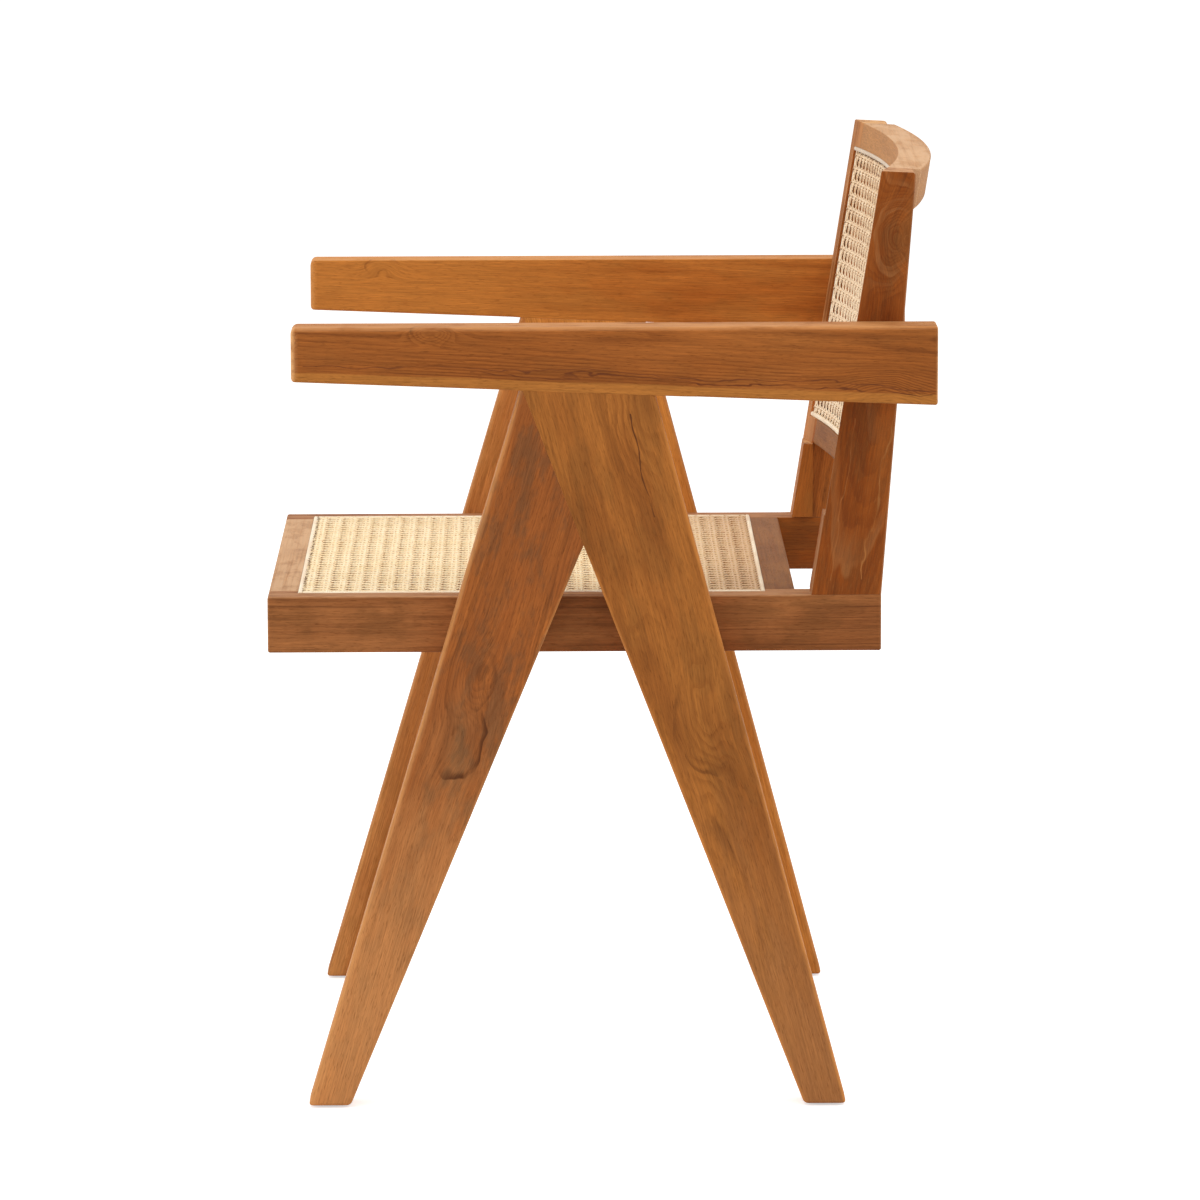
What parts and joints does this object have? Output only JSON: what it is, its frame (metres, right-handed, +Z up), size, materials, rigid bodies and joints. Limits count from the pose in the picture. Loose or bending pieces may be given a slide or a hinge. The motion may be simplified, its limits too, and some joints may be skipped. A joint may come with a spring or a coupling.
{
  "type": "dining armchair",
  "caption": "Solid teak dining armchair on two V-shaped leg pairs, with flat arms, a woven cane seat and a bowed woven cane back.",
  "frame": {"origin": "on the floor under the middle of the chair's box", "axes": "+Z up, +X to the sitter's left, -Y to the front"},
  "size_m": [0.557, 0.5722, 0.795],
  "materials": {
    "teak": "oiled, satin",
    "cane": "natural woven cane",
    "reed": "natural reed spline",
    "beech": "plain beech dowel",
    "screw_steel": "zinc-plated",
    "glide": "dark nylon nail-on glide"
  },
  "bodies": {
    "root": {"left_armrest": "teak", "right_armrest": "teak", "left_front_leg": "teak", "right_front_leg": "teak", "left_rear_leg": "teak", "right_rear_leg": "teak", "left_seat_rail": "teak", "right_seat_rail": "teak", "front_seat_rail": "teak", "rear_seat_rail": "teak", "left_back_post": "teak", "right_back_post": "teak", "left_back_stile": "teak", "right_back_stile": "teak", "top_back_rail": "teak", "lower_back_rail": "teak", "seat_cane": "cane", "front_seat_spline": "reed", "rear_seat_spline": "reed", "left_seat_spline": "reed", "right_seat_spline": "reed", "back_cane": "cane", "top_back_spline": "reed", "lower_back_spline": "reed", "left_back_spline": "reed", "right_back_spline": "reed", "arm_dowels": "beech", "leg_dowels": "beech", "seat_frame_dowels": "beech", "post_foot_dowels": "beech", "back_rail_dowels": "beech", "leg_screws": "screw_steel", "arm_screws": "screw_steel", "foot_glides": "glide"}
  },
  "joints": []
}
